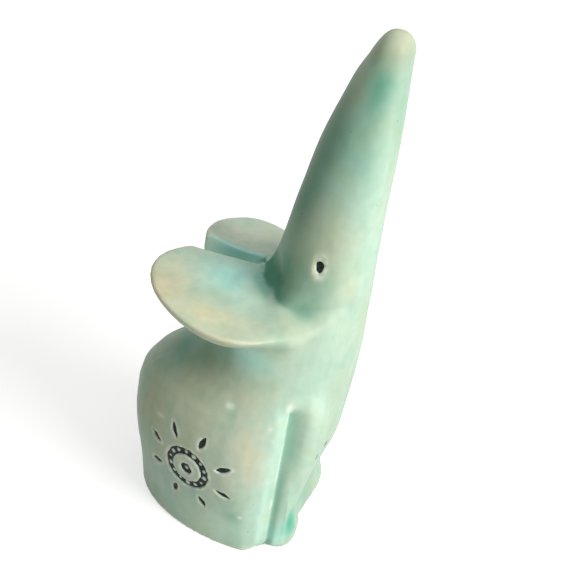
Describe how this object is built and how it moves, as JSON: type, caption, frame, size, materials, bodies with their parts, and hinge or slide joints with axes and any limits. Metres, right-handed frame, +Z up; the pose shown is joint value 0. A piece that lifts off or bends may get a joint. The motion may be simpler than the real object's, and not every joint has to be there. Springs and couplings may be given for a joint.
{
  "type": "glazed ceramic animal figurine",
  "caption": "Free-standing glazed ceramic animal with a long raised snout, flat oval ears laid back, rounded haunches, small forelegs and a dark sun ornament on its right flank.",
  "frame": {"origin": "middle of the bounding box on the plane the figure stands on", "axes": "+Z up, the animal faces -Y, its right side is -X"},
  "size_m": [0.0528, 0.0514, 0.12],
  "materials": {
    "mint_glaze": "satin",
    "cream_glaze": "satin",
    "dark_slip": "matte"
  },
  "bodies": {
    "root": {"body": "mint_glaze", "head": "mint_glaze", "right_foreleg": "mint_glaze", "left_foreleg": "mint_glaze", "right_ear": "cream_glaze", "left_ear": "cream_glaze", "right_eye": "dark_slip", "left_eye": "dark_slip", "sun_ring": "dark_slip", "sun_centre": "dark_slip", "sun_ray_1": "dark_slip", "sun_ray_2": "dark_slip", "sun_ray_3": "dark_slip", "sun_ray_4": "dark_slip", "sun_ray_5": "dark_slip", "sun_ray_6": "dark_slip", "sun_ray_7": "dark_slip", "sun_ray_8": "dark_slip"}
  },
  "joints": []
}
